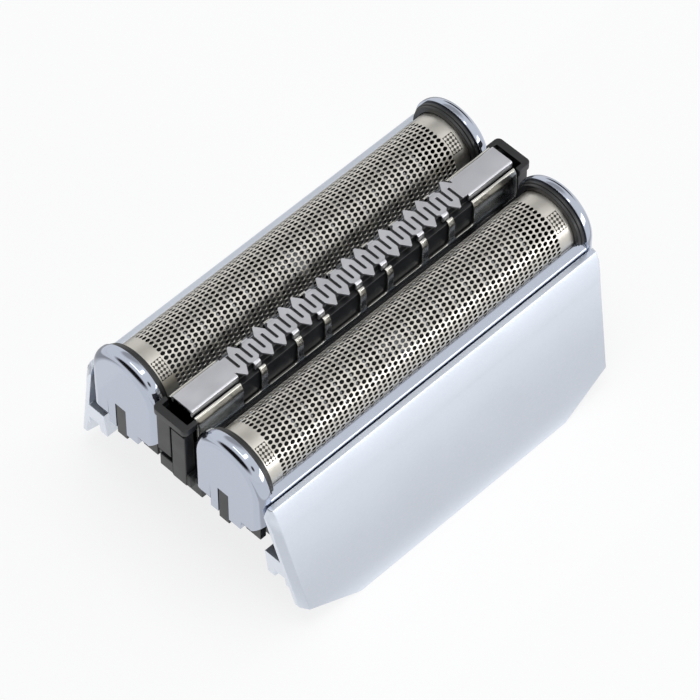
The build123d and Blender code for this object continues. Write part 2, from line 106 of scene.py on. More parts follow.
# %% Node and colour helpers
def add_node(tree, kind, inputs=None, **settings):
    """Add a node; an input may be a value, a socket, or a node whose first output is meant."""
    node = tree.nodes.new(kind)
    for name, value in settings.items():
        setattr(node, name, value)
    for key, value in (inputs or {}).items():
        if isinstance(value, bpy.types.Node):
            value = value.outputs[0]
        if isinstance(value, bpy.types.NodeSocket):
            tree.links.new(value, node.inputs[key])
        else:
            node.inputs[key].default_value = value
    return node


def linear(code):
    """An sRGB hex colour as a linear colour with alpha."""
    parts = [int(code[index:index + 2], 16) / 255 for index in (1, 3, 5)]
    return (*(p / 12.92 if p <= 0.04045 else ((p + 0.055) / 1.055) ** 2.4 for p in parts), 1.0)


def per_metre(size_mm):
    """The scale of a texture whose features are this many millimetres apart."""
    return 1 / (size_mm * MM)


print("a mid grey of #808080 is", round(linear("#808080")[0], 3), "in linear light")

# %% What every finish has
# Nearly all of a noise lies between these values.
noise_low = 0.3
noise_high = 0.7


def new_material(name):
    """A material, its tree, and the place on the object that its noises read."""
    material = bpy.data.materials.new(name)
    material.use_nodes = True
    tree = material.node_tree
    return material, tree, add_node(tree, "ShaderNodeTexCoord").outputs["Object"]


def noise(tree, space, size_mm, detail):
    """A noise whose features are this many millimetres apart."""
    return add_node(
        tree, "ShaderNodeTexNoise", {"Vector": space, "Scale": per_metre(size_mm), "Detail": detail}
    )


def surface(tree, blend, colours, wander, roughness, relief, strength, depth_mm):
    """Give a tree's shader a blend of two colours, a roughness that wanders between two, and a relief."""
    low, high = roughness
    first, second = [linear(code) for code in colours]
    shade = add_node(tree, "ShaderNodeMix", {0: blend, 6: first, 7: second}, data_type="RGBA")
    gloss = add_node(tree, "ShaderNodeMapRange", {0: wander, 1: noise_low, 2: noise_high, 3: low, 4: high})
    depth = depth_mm * MM
    bump = add_node(tree, "ShaderNodeBump", {"Height": relief, "Strength": strength, "Distance": depth})
    shader = tree.nodes["Principled BSDF"]
    tree.links.new(shade.outputs[2], shader.inputs["Base Color"])
    tree.links.new(gloss.outputs[0], shader.inputs["Roughness"])
    tree.links.new(bump.outputs[0], shader.inputs["Normal"])
    return shader


# %% [markdown]
# ## Moulded plastic
#
# The cassette and the carriers are black ABS from an etched mould: a fine grain that spreads the light,
# with patches that are a little more worn. The couplings are grey acetal from the same kind of mould.
# A picture of each could be wrapped on, but noise in object space needs no unwrapping and never repeats.

# %% Moulded plastic
# Etched grain is nearer 0.05 mm, which is too fine to show, so it is drawn coarser.
grain_mm = 0.12


def moulded_abs(name, colours, roughness):
    """Black or grey plastic with a mould grain and worn patches a few millimetres wide."""
    material, tree, space = new_material(name)
    grain = noise(tree, space, grain_mm, detail=3.0)
    patches = noise(tree, space, 6.0, detail=4.0)
    shader = surface(tree, patches, colours, patches, roughness, grain, strength=0.12, depth_mm=0.02)
    shader.inputs["IOR"].default_value = 1.54
    return material


black_abs = moulded_abs("black_moulded_abs", ("#0E0F11", "#16171A"), (0.32, 0.48))
grey_acetal = moulded_abs("grey_moulded_acetal", ("#8E9094", "#A0A2A5"), (0.3, 0.46))
print("moulded:", black_abs.name, grey_acetal.name)

# %% [markdown]
# ## Lacquer and chrome
#
# The side panels are ABS with a metallic silver lacquer under a clear one. Flakes and orange peel show
# only as a soft gradient, so both are faint here. The foil frames are ABS with bright chrome plating. One
# function makes both skins. The lacquer's roughness stays above about 0.28 all over and the chrome's below
# it, because the noise filter takes smoother skins for mirrors, and a skin on both sides of that limit
# shows thin lines where it crosses.

# %% Lacquered and plated plastic
# Lacquer flakes are nearer 0.05 mm, which is too fine to show, so they are drawn coarser.
flake_mm = 0.4


def bright_skin(name, colours, metallic, roughness, waves_mm, depth_mm, coat):
    """A metallic skin on plastic: long soft waves in the surface, and roughness that wanders a little."""
    material, tree, space = new_material(name)
    waves = noise(tree, space, waves_mm, detail=0.0)
    flakes = noise(tree, space, flake_mm, detail=0.0)
    mist = noise(tree, space, 9.0, detail=3.0)
    shader = surface(tree, flakes, colours, mist, roughness, waves, strength=0.05, depth_mm=depth_mm)
    shader.inputs["Metallic"].default_value = metallic
    shader.inputs["Coat Weight"].default_value = coat
    shader.inputs["Coat Roughness"].default_value = 0.08
    return material


silver_lacquer = bright_skin(
    "silver_lacquered_abs", ("#DCE3EE", "#E0E6F0"), 0.8, (0.29, 0.36), waves_mm=2.5, depth_mm=0.02, coat=0.6
)
chrome = bright_skin(
    "chrome_plated_abs", ("#B6BDCB", "#B8BECC"), 1.0, (0.07, 0.13), waves_mm=5.0, depth_mm=0.01, coat=0.0
)
print("bright skins:", silver_lacquer.name, chrome.name)

# %% [markdown]
# ## Sheet metal
#
# The trimmer blade is stamped stainless steel, ground flat and left satin. The guard is the same sheet
# rolled bright, and the springs are tempered strip. Their grinding lines run along the piece, so a noise
# is stretched in X. The foils are electroformed nickel: warmer in colour, with a soft shine, and with a
# small hatched patch in each plain end. That patch follows the sheet round its bend, so it reads the
# place on the flat sheet, which the foil's geometry keeps as an attribute.

# %% Metal finishes
def ground_steel(name, colours, roughness, lines_mm):
    """Steel strip with grinding lines along X, which are drawn coarser than real ones so that they show."""
    material, tree, space = new_material(name)
    stretched = add_node(tree, "ShaderNodeMapping", {"Vector": space, "Scale": (0.03, 1.0, 1.0)})
    lines = noise(tree, stretched, lines_mm, detail=2.0)
    mist = noise(tree, space, 3.0, detail=3.0)
    shader = surface(tree, lines, colours, mist, roughness, lines, strength=0.04, depth_mm=0.005)
    shader.inputs["Metallic"].default_value = 1.0
    return material


satin_blade = ground_steel("satin_ground_steel", ("#C6C7CC", "#CDCED3"), (0.32, 0.42), 0.06)
bright_guard = ground_steel("bright_rolled_steel", ("#CCCBC4", "#D4D3CC"), (0.16, 0.24), 0.1)
# The cutter blades are bright steel, but this dark grey stands in for the shade under the foils, as painted
# shade.
cutter_steel_with_painted_shade = ground_steel("blade_steel_with_painted_shade", ("#66676A", "#727376"), (0.3, 0.4), 0.06)
spring_strip = ground_steel("tempered_spring_steel", ("#84868C", "#94969B"), (0.28, 0.38), 0.1)
print("steels:", satin_blade.name, bright_guard.name, cutter_steel_with_painted_shade.name, spring_strip.name)

# %% Electroformed nickel with its hatched patch
# The hatched patch: its pitch, and its middle and half size along the sheet and round its bend.
hatch_pitch = 0.36
hatch_along = (24.7, 0.8)
hatch_round = (-3.05, 1.3)


def maths(tree, operation, *terms):
    """Add a node that works on one, two or three numbers."""
    return add_node(tree, "ShaderNodeMath", dict(enumerate(terms)), operation=operation)


nickel, nickel_tree, nickel_space = new_material("electroformed_nickel")
flat = add_node(nickel_tree, "ShaderNodeAttribute", attribute_name="sheet").outputs["Vector"]
turned = add_node(nickel_tree, "ShaderNodeMapping", {"Vector": flat, "Rotation": (0, 0, radians(45))})
hatch = add_node(nickel_tree, "ShaderNodeTexChecker", {"Vector": turned, "Scale": per_metre(hatch_pitch)})
spot = add_node(nickel_tree, "ShaderNodeSeparateXYZ", {0: flat})
from_end = maths(nickel_tree, "ABSOLUTE", spot.outputs[0])
beside = maths(nickel_tree, "COMPARE", from_end, *[size * MM for size in hatch_along])
around = maths(nickel_tree, "COMPARE", spot.outputs[1], *[size * MM for size in hatch_round])
patch = maths(nickel_tree, "MULTIPLY", beside, around)
etched = maths(nickel_tree, "MULTIPLY", patch, hatch.outputs["Fac"])
nickel_mist = noise(nickel_tree, nickel_space, 1.5, detail=3.0)
nickel_shader = surface(
    nickel_tree, etched, ("#C4C1BA", "#45433F"), nickel_mist, (0.3, 0.42), nickel_mist,
    strength=0.1, depth_mm=0.03,
)
nickel_shader.inputs["Metallic"].default_value = 1.0
print("foil metal:", nickel.name)

# %% [markdown]
# ## Solids from outlines
#
# Most pieces here are a drawn outline pulled out along one axis, as sheet metal and mouldings are. A few
# helpers do that: one rounds the corners of an outline, one pulls it out, one cuts and joins solids and
# softens their edges with modifiers. Real edges are never quite sharp, and the thin bright line along a
# softened edge is much of what makes a render look real. Weighted normals keep the flats flat beside it.

# %% Outlines and prisms
def rounded(corners, steps=5):
    """A closed outline whose corners, given as (across, up, radius), are rounded off."""
    points = []
    for index, (across, height, radius) in enumerate(corners):
        corner = Vector((across, height))
        if radius == 0:
            points.append(tuple(corner))
            continue
        to_last = (Vector(corners[index - 1][:2]) - corner).normalized()
        to_next = (Vector(corners[(index + 1) % len(corners)][:2]) - corner).normalized()
        half = to_last.angle(to_next) / 2
        middle = corner + (to_last + to_next).normalized() * radius / sin(half)
        start = corner + to_last * radius / tan(half) - middle
        stop = corner + to_next * radius / tan(half) - middle
        sweep = pi - 2 * half
        for step in range(steps + 1):
            share = step / steps
            spoke = (start * sin((1 - share) * sweep) + stop * sin(share * sweep)) / sin(sweep)
            points.append(tuple(middle + spoke))
    return points


def solid(rings):
    """A closed mesh through rings of points in millimetres, capped at both ends."""
    count = len(rings[0])
    points = [Vector(point) * MM for ring in rings for point in ring]
    faces = [tuple(range(count)), tuple(range(len(points) - count, len(points)))]
    for level in range(len(rings) - 1):
        for index in range(count):
            after = (index + 1) % count
            low = level * count
            faces.append((low + index, low + after, low + count + after, low + count + index))
    mesh = bpy.data.meshes.new("solid")
    mesh.from_pydata(points, [], faces)
    shell = bmesh.new()
    shell.from_mesh(mesh)
    bmesh.ops.recalc_face_normals(shell, faces=shell.faces)
    shell.to_mesh(mesh)
    shell.free()
    return mesh


def along_x(outline, start, end):
    """An outline in Y and Z pulled out along X."""
    return solid([[(x, y, z) for y, z in outline] for x in (start, end)])


def along_y(outline, start, end):
    """An outline in X and Z pulled out along Y."""
    return solid([[(x, y, z) for x, z in outline] for y in (start, end)])


def along_z(outline, start, end):
    """An outline in X and Y pulled out along Z."""
    return solid([[(x, y, z) for x, y in outline] for z in (start, end)])


def block(x, y, z):
    """A plain block between two ends along each axis."""
    return along_z([(x[0], y[0]), (x[1], y[0]), (x[1], y[1]), (x[0], y[1])], *z)


def joined(meshes):
    """Several meshes as one, without welding them."""
    shell = bmesh.new()
    for mesh in meshes:
        shell.from_mesh(mesh)
    result = bpy.data.meshes.new("joined")
    shell.to_mesh(result)
    shell.free()
    return result


# %% Cutting, joining and softening
def linked(name, content):
    """An object with this mesh or lamp, in the scene."""
    holder = bpy.data.objects.new(name, content)
    scene.collection.objects.link(holder)
    return holder


def plain(holder):
    """The mesh that an object's modifiers give."""
    bpy.context.view_layer.update()
    return bpy.data.meshes.new_from_object(holder.evaluated_get(bpy.context.evaluated_depsgraph_get()))


def softened(mesh, width, sharp=30):
    """Round the sharp edges of a mesh, in millimetres, and shade it smooth with flat flats."""
    holder = linked("softening", mesh)
    bevel = holder.modifiers.new("edges", "BEVEL")
    bevel.width = width * MM
    bevel.segments = 2
    bevel.limit_method = "ANGLE"
    bevel.angle_limit = radians(sharp)
    bevel.use_clamp_overlap = False
    shaded = plain(holder)
    shaded.shade_smooth()
    shaded.set_sharp_from_angle(angle=radians(50))
    holder.data = shaded
    holder.modifiers.clear()
    weights = holder.modifiers.new("flats", "WEIGHTED_NORMAL")
    weights.keep_sharp = True
    result = plain(holder)
    bpy.data.objects.remove(holder)
    return result


def carved(mesh, cuts=(), joins=()):
    """Cut solids out of a mesh, then join others to it."""
    holder = linked("carving", mesh)
    tools = []
    for operation, solids in (("DIFFERENCE", cuts), ("UNION", joins)):
        for tool_mesh in solids:
            tool = linked("tool", tool_mesh)
            step = holder.modifiers.new("carve", "BOOLEAN")
            step.operation = operation
            step.solver = "EXACT"
            step.object = tool
            tools.append(tool)
    result = plain(holder)
    for used in [holder, *tools]:
        bpy.data.objects.remove(used)
    return result


def node_copy(node):
    """A welded copy of a frame node's mesh, with the triangles of each flat face put together."""
    mesh = frame["nodes"][node].data.copy()
    shell = bmesh.new()
    shell.from_mesh(mesh)
    bmesh.ops.remove_doubles(shell, verts=shell.verts, dist=0.003 * MM)
    bmesh.ops.dissolve_limit(shell, angle_limit=radians(1), verts=shell.verts, edges=shell.edges)
    shell.to_mesh(mesh)
    shell.free()
    return mesh


slot_of = {row["node"]: row["material_slot"] for row in frame["record"]["subparts"]}
body_of = {node: body for body, nodes in frame["record"]["behaviour"]["bodies"].items() for node in nodes}


def dress(node, mesh, material):
    """Put a finished mesh in the place of a frame node."""
    mesh.materials.clear()
    mesh.materials.append(material)
    piece = linked(f"{node}.dressed", mesh)
    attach(piece, body_of[node])
    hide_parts(node)
    print(piece.name, len(mesh.polygons), "faces")


# %% [markdown]
# ## The foils
#
# A foil is a nickel sheet about a tenth of a millimetre thick with over a thousand staggered holes, bent
# into an arch. Cutting that many holes one by one would be slow, and a texture would not let the blades
# show through. Geometry Nodes suit it: one six-sided tile with a twelve-sided hole is repeated on a
# staggered grid, with plain tiles where the sheet has none, and then the whole sheet is bent and thickened.

# %% Sizes of the foils
foil_axis_y = 8.85
foil_axis_z = 22.3
foil_sizes = {
    "Column pitch": 0.806,
    "Hole pitch": 0.66,
    "Hole length": 0.64,
    "Hole width": 0.5,
    "Edge depth": 0.04,
    "Radius": 4.6,
    "Length": 52.5,
    "Leg": 2.7,
    "Plain end": 2.65,
    "Sheet": 0.1,
}
foil_columns = 67
foil_rows = 33
bend_length = pi * foil_sizes["Radius"]
print("round the bend:", round(bend_length / foil_sizes["Hole pitch"]), "holes in a column")

# %% The tile
# How much wider than its hole the rounded edge of the hole is.
EDGE_SPREAD = 1.12


def foil_tile(tree, sizes):
    """A six-sided tile with a hole whose edge is rounded down, and the same without one."""
    spot = add_node(tree, "GeometryNodeInputPosition")
    circle = add_node(tree, "GeometryNodeMeshCircle", {"Vertices": 12, "Radius": 1.0}, fill_type="NGON")
    order = add_node(tree, "GeometryNodeInputIndex")
    odd = maths(tree, "MODULO", order, 2.0)
    draw_in = maths(tree, "MULTIPLY_ADD", odd, cos(pi / 6) - 1, 1.0)
    six_sided = add_node(tree, "ShaderNodeVectorMath", {0: spot, "Scale": draw_in}, operation="SCALE")
    whole = add_node(tree, "GeometryNodeSetPosition", {"Geometry": circle, "Position": six_sided})
    ring = add_node(tree, "GeometryNodeExtrudeMesh", {"Mesh": whole, "Offset Scale": 0.0}, mode="FACES")
    share_x = maths(tree, "DIVIDE", sizes["Hole length"], sizes["Column pitch"])
    share_y = maths(tree, "DIVIDE", sizes["Hole width"], sizes["Hole pitch"])
    hole_x = maths(tree, "MULTIPLY", share_x, 3 / 4)
    hole_y = maths(tree, "MULTIPLY", share_y, sqrt(3) / 2)
    hole = add_node(tree, "ShaderNodeCombineXYZ", {0: hole_x, 1: hole_y})
    unit = add_node(tree, "ShaderNodeVectorMath", {0: spot}, operation="NORMALIZE")
    oval = add_node(tree, "ShaderNodeVectorMath", {0: unit, 1: hole}, operation="MULTIPLY")
    brim = add_node(tree, "ShaderNodeVectorMath", {0: oval, "Scale": EDGE_SPREAD}, operation="SCALE")
    drawn = add_node(
        tree, "GeometryNodeSetPosition",
        {"Geometry": ring, "Selection": ring.outputs["Top"], "Position": brim},
    )
    edge = add_node(
        tree, "GeometryNodeExtrudeMesh",
        {"Mesh": drawn, "Selection": ring.outputs["Top"], "Offset Scale": 0.0}, mode="FACES",
    )
    down = maths(tree, "MULTIPLY", sizes["Edge depth"], -1.0)
    lowered = add_node(tree, "ShaderNodeCombineXYZ", {2: down})
    sunk = add_node(tree, "ShaderNodeVectorMath", {0: oval, 1: lowered}, operation="ADD")
    pressed = add_node(
        tree, "GeometryNodeSetPosition",
        {"Geometry": edge, "Selection": edge.outputs["Top"], "Position": sunk},
    )
    opened = add_node(
        tree, "GeometryNodeDeleteGeometry",
        {"Geometry": pressed, "Selection": edge.outputs["Top"]}, domain="FACE",
    )
    tile_x = maths(tree, "MULTIPLY", sizes["Column pitch"], 2 / 3)
    tile_y = maths(tree, "MULTIPLY", sizes["Hole pitch"], 1 / sqrt(3))
    size = add_node(tree, "ShaderNodeCombineXYZ", {0: tile_x, 1: tile_y, 2: 1.0})
    holed = add_node(tree, "GeometryNodeTransform", {"Geometry": opened, "Scale": size})
    bare = add_node(tree, "GeometryNodeTransform", {"Geometry": whole, "Scale": size})
    return holed, bare


# %% The grid of tiles
def foil_grid(tree, sizes, columns, rows):
    """Points on a grid, with every second column moved half a hole pitch."""
    wide = maths(tree, "MULTIPLY", sizes["Column pitch"], columns - 1.0)
    high = maths(tree, "MULTIPLY", sizes["Hole pitch"], rows - 1.0)
    grid = add_node(
        tree, "GeometryNodeMeshGrid",
        {"Size X": wide, "Size Y": high, "Vertices X": columns, "Vertices Y": rows},
    )
    spot = add_node(tree, "ShaderNodeSeparateXYZ", {0: add_node(tree, "GeometryNodeInputPosition")})
    column = maths(tree, "DIVIDE", spot.outputs[0], sizes["Column pitch"])
    whole = maths(tree, "ROUND", column)
    second = maths(tree, "FLOORED_MODULO", whole, 2.0)
    half = maths(tree, "MULTIPLY", sizes["Hole pitch"], 0.5)
    shift = maths(tree, "MULTIPLY", second, half)
    move = add_node(tree, "ShaderNodeCombineXYZ", {1: shift})
    return add_node(tree, "GeometryNodeSetPosition", {"Geometry": grid, "Offset": move})


# %% The flat sheet
def flat_sheet(tree, sizes, columns, rows):
    """Holed tiles in the middle, plain tiles at the ends and legs, trimmed to the sheet's edges."""
    holed, bare = foil_tile(tree, sizes)
    points = foil_grid(tree, sizes, columns, rows)
    spot = add_node(tree, "ShaderNodeSeparateXYZ", {0: add_node(tree, "GeometryNodeInputPosition")})
    along = maths(tree, "ABSOLUTE", spot.outputs[0])
    around = maths(tree, "ABSOLUTE", spot.outputs[1])
    half_length = maths(tree, "MULTIPLY", sizes["Length"], 0.5)
    run = maths(tree, "SUBTRACT", half_length, sizes["Plain end"])
    quarter = maths(tree, "MULTIPLY", sizes["Radius"], pi / 2)
    inside_x = add_node(tree, "FunctionNodeCompare", {"A": along, "B": run}, operation="LESS_THAN")
    inside_y = add_node(tree, "FunctionNodeCompare", {"A": around, "B": quarter}, operation="LESS_THAN")
    pierced = add_node(tree, "FunctionNodeBooleanMath", {0: inside_x, 1: inside_y}, operation="AND")
    closed = add_node(tree, "FunctionNodeBooleanMath", {0: pierced}, operation="NOT")
    holes = add_node(
        tree, "GeometryNodeInstanceOnPoints", {"Points": points, "Selection": pierced, "Instance": holed}
    )
    plains = add_node(
        tree, "GeometryNodeInstanceOnPoints", {"Points": points, "Selection": closed, "Instance": bare}
    )
    tiles = add_node(tree, "GeometryNodeJoinGeometry", {0: holes})
    tree.links.new(plains.outputs[0], tiles.inputs[0])
    real = add_node(tree, "GeometryNodeRealizeInstances", {0: tiles})
    half_width = maths(tree, "ADD", quarter, sizes["Leg"])
    trimmed = []
    for axis, limit in ((0, half_length), (1, half_width)):
        low = maths(tree, "MULTIPLY", limit, -1.0)
        held = add_node(tree, "ShaderNodeClamp", {"Value": spot.outputs[axis], "Min": low, "Max": limit})
        trimmed.append(held)
    kept = add_node(tree, "ShaderNodeCombineXYZ", {0: trimmed[0], 1: trimmed[1], 2: spot.outputs[2]})
    cut = add_node(tree, "GeometryNodeSetPosition", {"Geometry": real, "Position": kept})
    return add_node(tree, "GeometryNodeMergeByDistance", {"Geometry": cut, "Distance": 0.01 * MM})


# %% Bending and thickening
def bent_sheet(tree, sizes, sheet):
    """Bend a flat sheet over a half round with straight legs, and give it its thickness inwards."""
    place = add_node(tree, "GeometryNodeInputPosition")
    kept = add_node(
        tree, "GeometryNodeStoreNamedAttribute", {"Geometry": sheet, "Name": "sheet", "Value": place},
        data_type="FLOAT_VECTOR", domain="POINT",
    )
    spot = add_node(tree, "ShaderNodeSeparateXYZ", {0: place})
    angle = maths(tree, "DIVIDE", spot.outputs[1], sizes["Radius"])
    turn = add_node(tree, "ShaderNodeClamp", {"Value": angle, "Min": -pi / 2, "Max": pi / 2})
    across = maths(tree, "SINE", turn)
    rise = maths(tree, "COSINE", turn)
    around = maths(tree, "ABSOLUTE", spot.outputs[1])
    quarter = maths(tree, "MULTIPLY", sizes["Radius"], pi / 2)
    beyond = maths(tree, "SUBTRACT", around, quarter)
    drop = maths(tree, "MAXIMUM", beyond, 0.0)
    reach = maths(tree, "ADD", sizes["Radius"], spot.outputs[2])
    out = maths(tree, "MULTIPLY", across, reach)
    top = maths(tree, "MULTIPLY", rise, reach)
    height = maths(tree, "SUBTRACT", top, drop)
    bend = add_node(tree, "ShaderNodeCombineXYZ", {0: spot.outputs[0], 1: out, 2: height})
    arch = add_node(tree, "GeometryNodeSetPosition", {"Geometry": kept, "Position": bend})
    inward = maths(tree, "MULTIPLY", sizes["Sheet"], -1.0)
    depth = add_node(
        tree, "GeometryNodeExtrudeMesh",
        {"Mesh": arch, "Offset Scale": inward, "Individual": False}, mode="FACES",
    )
    lining = add_node(tree, "GeometryNodeFlipFaces", {0: depth})
    both = add_node(tree, "GeometryNodeJoinGeometry", {0: arch})
    tree.links.new(lining.outputs[0], both.inputs[0])
    return add_node(tree, "GeometryNodeMergeByDistance", {"Geometry": both, "Distance": 0.001 * MM})


# %% From a tree to a front and a rear piece
sides = (("front", -1), ("rear", 1))


def named_inputs(tree, names):
    """Give a tree one length input for each name, a material input and a geometry output."""
    for name in names:
        tree.interface.new_socket(name, in_out="INPUT", socket_type="NodeSocketFloat")
    tree.interface.new_socket("Material", in_out="INPUT", socket_type="NodeSocketMaterial")
    tree.interface.new_socket("Geometry", in_out="OUTPUT", socket_type="NodeSocketGeometry")
    return add_node(tree, "NodeGroupInput").outputs


def end_tree(tree, inputs, geometry):
    """Make a tree's instances real, coat them and hand them out."""
    real = add_node(tree, "GeometryNodeRealizeInstances", {0: geometry})
    coated = add_node(tree, "GeometryNodeSetMaterial", {"Geometry": real, "Material": inputs["Material"]})
    add_node(tree, "NodeGroupOutput", {0: coated})


def made_by(tree, name, sizes, material):
    """Run a geometry tree with sizes in millimetres and return its plain mesh."""
    holder = linked(name, bpy.data.meshes.new(name))
    maker = holder.modifiers.new("maker", "NODES")
    maker.node_group = tree
    for item in tree.interface.items_tree:
        if item.in_out == "INPUT":
            maker[item.identifier] = material if item.name == "Material" else sizes[item.name] * MM
    mesh = plain(holder)
    bpy.data.objects.remove(holder)
    return mesh


def dress_both(tree, piece, sizes, material):
    """Make a piece with a geometry tree for each foil, round that foil's axis."""
    for where, side in sides:
        mesh = made_by(tree, piece, sizes, material)
        mesh.transform(Matrix.Translation(Vector((0, side * foil_axis_y, foil_axis_z)) * MM))
        mesh.shade_smooth()
        mesh.set_sharp_from_angle(angle=radians(40))
        dress(f"{where}_{piece}", mesh, material)


# %% Make both foils
foil_tree = bpy.data.node_groups.new("perforated_foil", "GeometryNodeTree")
foil_inputs = named_inputs(foil_tree, foil_sizes)
foil_flat = flat_sheet(foil_tree, foil_inputs, foil_columns, foil_rows)
end_tree(foil_tree, foil_inputs, bent_sheet(foil_tree, foil_inputs, foil_flat))
print("foil tree:", len(foil_tree.nodes), "nodes")
dress_both(foil_tree, "foil", foil_sizes, nickel)

# %% [markdown]
# ## The cutters under the foils
#
# Under each foil a row of thin arched blades swings from side to side. They show as grey glints in the
# holes, and their steel is drawn dark grey, as painted shade for the dark under the foil. Each blade is
# the same half ring of strip steel, so one ring is instanced along a line.

# %% Cutter blades
blade_sizes = {"Blade radius": 3.75, "Blade height": 1.1, "Blade thickness": 0.3, "Blade pitch": 2.42}
blade_count = 17

blade_tree = bpy.data.node_groups.new("cutter_blade_row", "GeometryNodeTree")
blade_inputs = named_inputs(blade_tree, blade_sizes)
blade_arc = add_node(
    blade_tree, "GeometryNodeCurveArc",
    {"Resolution": 17, "Radius": blade_inputs["Blade radius"], "Start Angle": 0.0, "Sweep Angle": pi},
)
blade_strip = add_node(
    blade_tree, "GeometryNodeCurvePrimitiveQuadrilateral",
    {"Width": blade_inputs["Blade height"], "Height": blade_inputs["Blade thickness"]},
)
blade_ring = add_node(
    blade_tree, "GeometryNodeCurveToMesh", {0: blade_arc, 1: blade_strip, "Fill Caps": True}
)
blade_stood = add_node(
    blade_tree, "GeometryNodeTransform", {"Geometry": blade_ring, "Rotation": (radians(90), 0, radians(90))}
)
blade_step = add_node(blade_tree, "ShaderNodeCombineXYZ", {0: blade_inputs["Blade pitch"]})
blade_start = add_node(
    blade_tree, "ShaderNodeVectorMath", {0: blade_step, "Scale": -(blade_count - 1) / 2}, operation="SCALE"
)
blade_line = add_node(
    blade_tree, "GeometryNodeMeshLine",
    {"Count": blade_count, "Start Location": blade_start, "Offset": blade_step},
)
blade_row = add_node(
    blade_tree, "GeometryNodeInstanceOnPoints", {"Points": blade_line, "Instance": blade_stood}
)
end_tree(blade_tree, blade_inputs, blade_row)
dress_both(blade_tree, "cutter_blades", blade_sizes, cutter_steel_with_painted_shade)

# %% [markdown]
# ## The chromed foil frames
#
# Each frame has a rounded arch at both ends, joined by two rails. Chrome shows every facet, so the round
# of the rim is built from many thin rings instead of a few flats. A bevel could round it too, but rings
# through a list of radii keep the width of the round even, all the way down both legs. Slots, corners and
# the hollow behind the face are then cut out of that block.

# %% Sizes of the frames
rim_radius = 5.89
rim_round = 1.4
rim_steps = 16
rim_wall = 0.9
rim_x = 26.95
frame_end = 28.7
end_wall = 0.7
wall_bottom = foil_axis_z - 6.7
foot_bottom = foil_axis_z - 8.2
foot_top = foil_axis_z - 3.6
foot_sides = (-2.3, 2.8)
tongue_top = foil_axis_z - 3.5
tongue_sides = (-0.3, 1.5)
tongue_depth = 1.5
leg_bottom = foil_axis_z - 5.3
bevel_reach = 2.7
corner_reach = 2
corner_round = 1.2
rail_inside = 4.62
rail_bottom = foil_axis_z - 4.0
rail_shoulder = 0.9
# How far a cutting solid reaches past what it cuts.
past = 1
print("frame:", 2 * frame_end, "mm from end to end")


def arch(radius, bottom, steps=48):
    """A half round on two straight legs, as an outline in Y and Z."""
    turns = [pi * index / steps for index in range(steps + 1)]
    crown = [(radius * cos(turn), foil_axis_z + radius * sin(turn)) for turn in turns]
    return [(radius, bottom), *crown, (-radius, bottom)]


# %% One end of a frame
def frame_end_block():
    """The arch at the left end, with its face, slot, foot and hollow."""
    rings = [(rim_x, rim_radius)]
    for step in range(rim_steps):
        turn = radians(90 / (rim_steps - 1) * step)
        out = frame_end - rim_round + rim_round * sin(turn)
        rings.append((out, rim_radius - rim_round + rim_round * cos(turn)))
    body = solid([[(-x, y, z) for y, z in arch(radius, wall_bottom)] for x, radius in rings])
    through = (-frame_end - past, 0)
    wide = rim_radius + past
    low = wall_bottom - past
    bevel = along_x(
        [(-wide, wall_bottom + bevel_reach), (-rim_radius + bevel_reach, low), (-wide, low)], *through
    )
    corner = rounded([
        (rim_radius, wall_bottom + corner_reach, 0),
        (rim_radius, wall_bottom, corner_round),
        (rim_radius - corner_reach, wall_bottom, 0),
    ])
    outside = [(rim_radius - corner_reach, low), (wide, low), (wide, wall_bottom + corner_reach)]
    behind = (end_wall - frame_end, past - rim_x)
    hollow = along_x(arch(rim_radius - rim_wall, low), *behind)
    below = block(behind, (-wide, wide), (low - past, leg_bottom))
    foot = block((-frame_end, end_wall - frame_end), foot_sides, (foot_bottom, foot_top))
    slot_x = (-frame_end - past, tongue_depth - frame_end)
    slot = block(slot_x, tongue_sides, (foot_bottom - past, tongue_top))
    body = carved(body, cuts=[bevel, along_x(corner + outside, *through), hollow, below], joins=[foot])
    return carved(body, cuts=[slot])


# %% Both frames
def foil_frame():
    """Both ends and both rails of a frame, about the origin of its foil."""
    left = frame_end_block()
    opposite = left.copy()
    opposite.transform(Matrix.Rotation(pi, 4, "Z"))
    rail = rounded([
        (rail_inside, rail_bottom, 0),
        (rim_radius, rail_bottom, 0),
        (rim_radius, foil_axis_z - rail_shoulder, 0.5),
        (rim_radius - rail_shoulder, foil_axis_z, 0.4),
        (rail_inside, foil_axis_z, 0),
    ])
    rails = [along_x([(side * y, z) for y, z in rail], -rim_x - 0.1, rim_x + 0.1) for side in (-1, 1)]
    return carved(left, joins=[opposite, *rails])


frame_mesh = softened(foil_frame(), 0.06, sharp=35)
for where, side in sides:
    placed = frame_mesh.copy()
    placed.transform(Matrix.Translation(Vector((0, side * foil_axis_y, 0)) * MM))
    dress(f"{where}_foil_frame", placed, chrome)

# %% [markdown]
# ## The serpentine trimmer blade
#
# The trimmer blade is stamped from one strip: slots from both edges leave a zigzag line with pointed
# fingers, and some fingers are folded down as tabs that guide it. A finger could be instanced, but the
# zigzag is one closed line, so the outline is walked along the front edge and back along the rear one.

# %% Sizes of the comb
finger_count = 18
finger_pitch = 2.12
finger_slot = 0.38
slot_past = 0.93
finger_shoulder = 1.15
end_shoulder = 1.45
finger_reach = 2.28
finger_tip = 0.13
tab_half = 0.5
tab_edge = 1.76
tab_cycle = 5
tab_fingers = (1, 4)
root_round = 0.15
tip_round = 0.05
slot_round = finger_slot / 2.02
end_round = 0.1
blade_top = 26.95
blade_sheet = 0.3
fold_bottom = blade_top - 1.1
comb_half = (finger_count + 0.5) * finger_pitch / 2
blade_half = 27.14
print("comb:", round(2 * comb_half, 2), "mm of the blade's", 2 * blade_half)


def finger_row(side):
    """X of each finger along one edge, in the order of the walk, with whether it is folded down."""
    middle = (finger_count - 1) / 2
    shift = side * finger_pitch / 4
    places = [(index - middle) * finger_pitch + shift for index in range(finger_count)]
    return [(x, index % tab_cycle in tab_fingers) for index, x in enumerate(places[::-side])]


